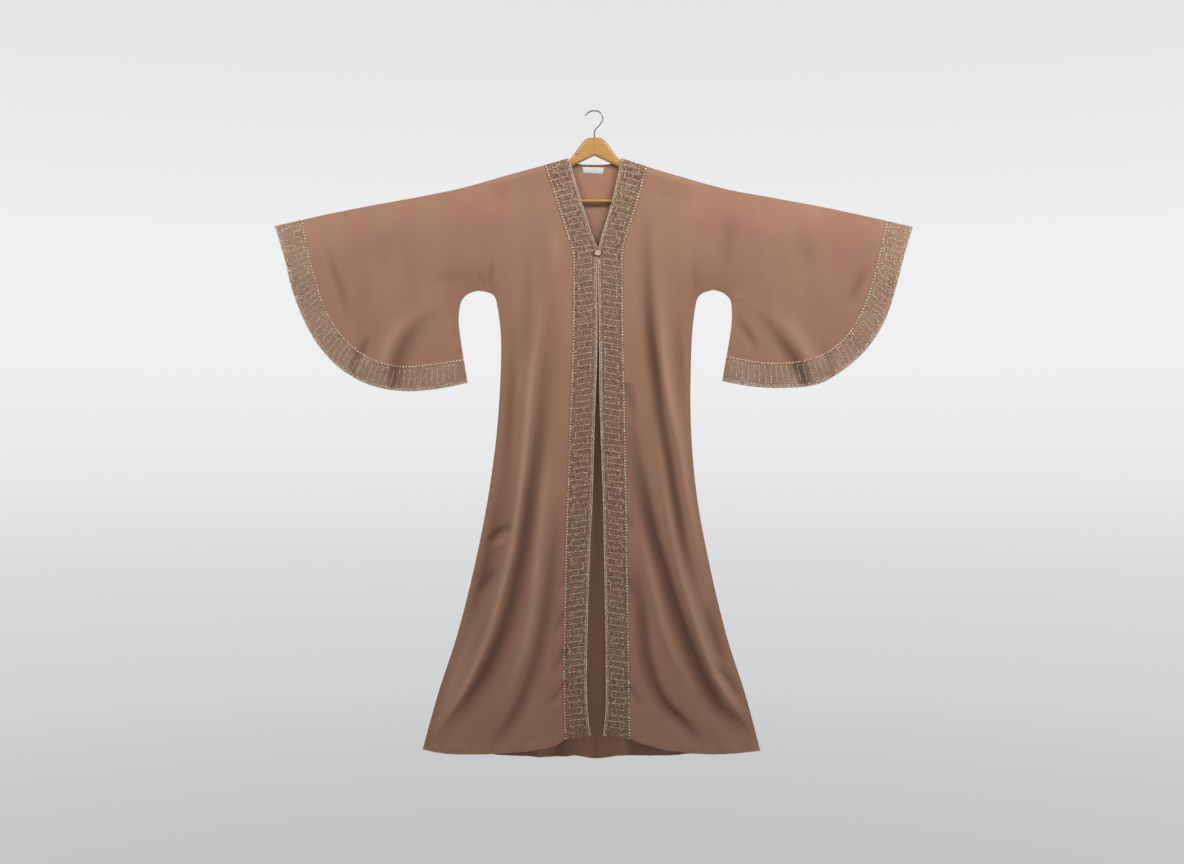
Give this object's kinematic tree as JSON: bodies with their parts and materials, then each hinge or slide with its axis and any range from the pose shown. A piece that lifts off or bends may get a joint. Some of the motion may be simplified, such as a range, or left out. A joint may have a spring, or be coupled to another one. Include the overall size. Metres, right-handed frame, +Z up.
{
  "type": "abaya cloak on a hanger",
  "caption": "Open-front abaya cloak with wide bell sleeves, patterned front bands and cuffs, hung with its sleeves spread on a wooden hanger with a wire hook.",
  "frame": {"origin": "inner crown of the hanger's wire hook, where it hangs on a rod", "axes": "+Z up, the front of the cloak faces -Y, +X towards the wearer's left sleeve"},
  "size_m": [1.5384, 0.0628, 1.5661],
  "materials": {
    "cloth": "smooth rosy brown satin crepe",
    "band": "speckled taupe cloth with pale stitched key pattern",
    "binding": "mauve binding",
    "label": "blank white woven label",
    "button": "cream pearl",
    "loop": "khaki cord",
    "wood": "clear lacquered honey wood",
    "wire": "polished wire"
  },
  "bodies": {
    "root": {"front_right": "cloth", "front_left": "cloth", "back": "cloth", "front_band_right": "band", "front_band_left": "band", "cuff_band_right_front": "band", "cuff_band_right_back": "band", "cuff_band_left_front": "band", "cuff_band_left_back": "band", "back_neck_binding": "binding", "neck_label": "label", "button": "button", "button_loop": "loop", "hanger_wood": "wood", "hanger_bar": "wood", "hanger_hook": "wire"}
  },
  "joints": []
}
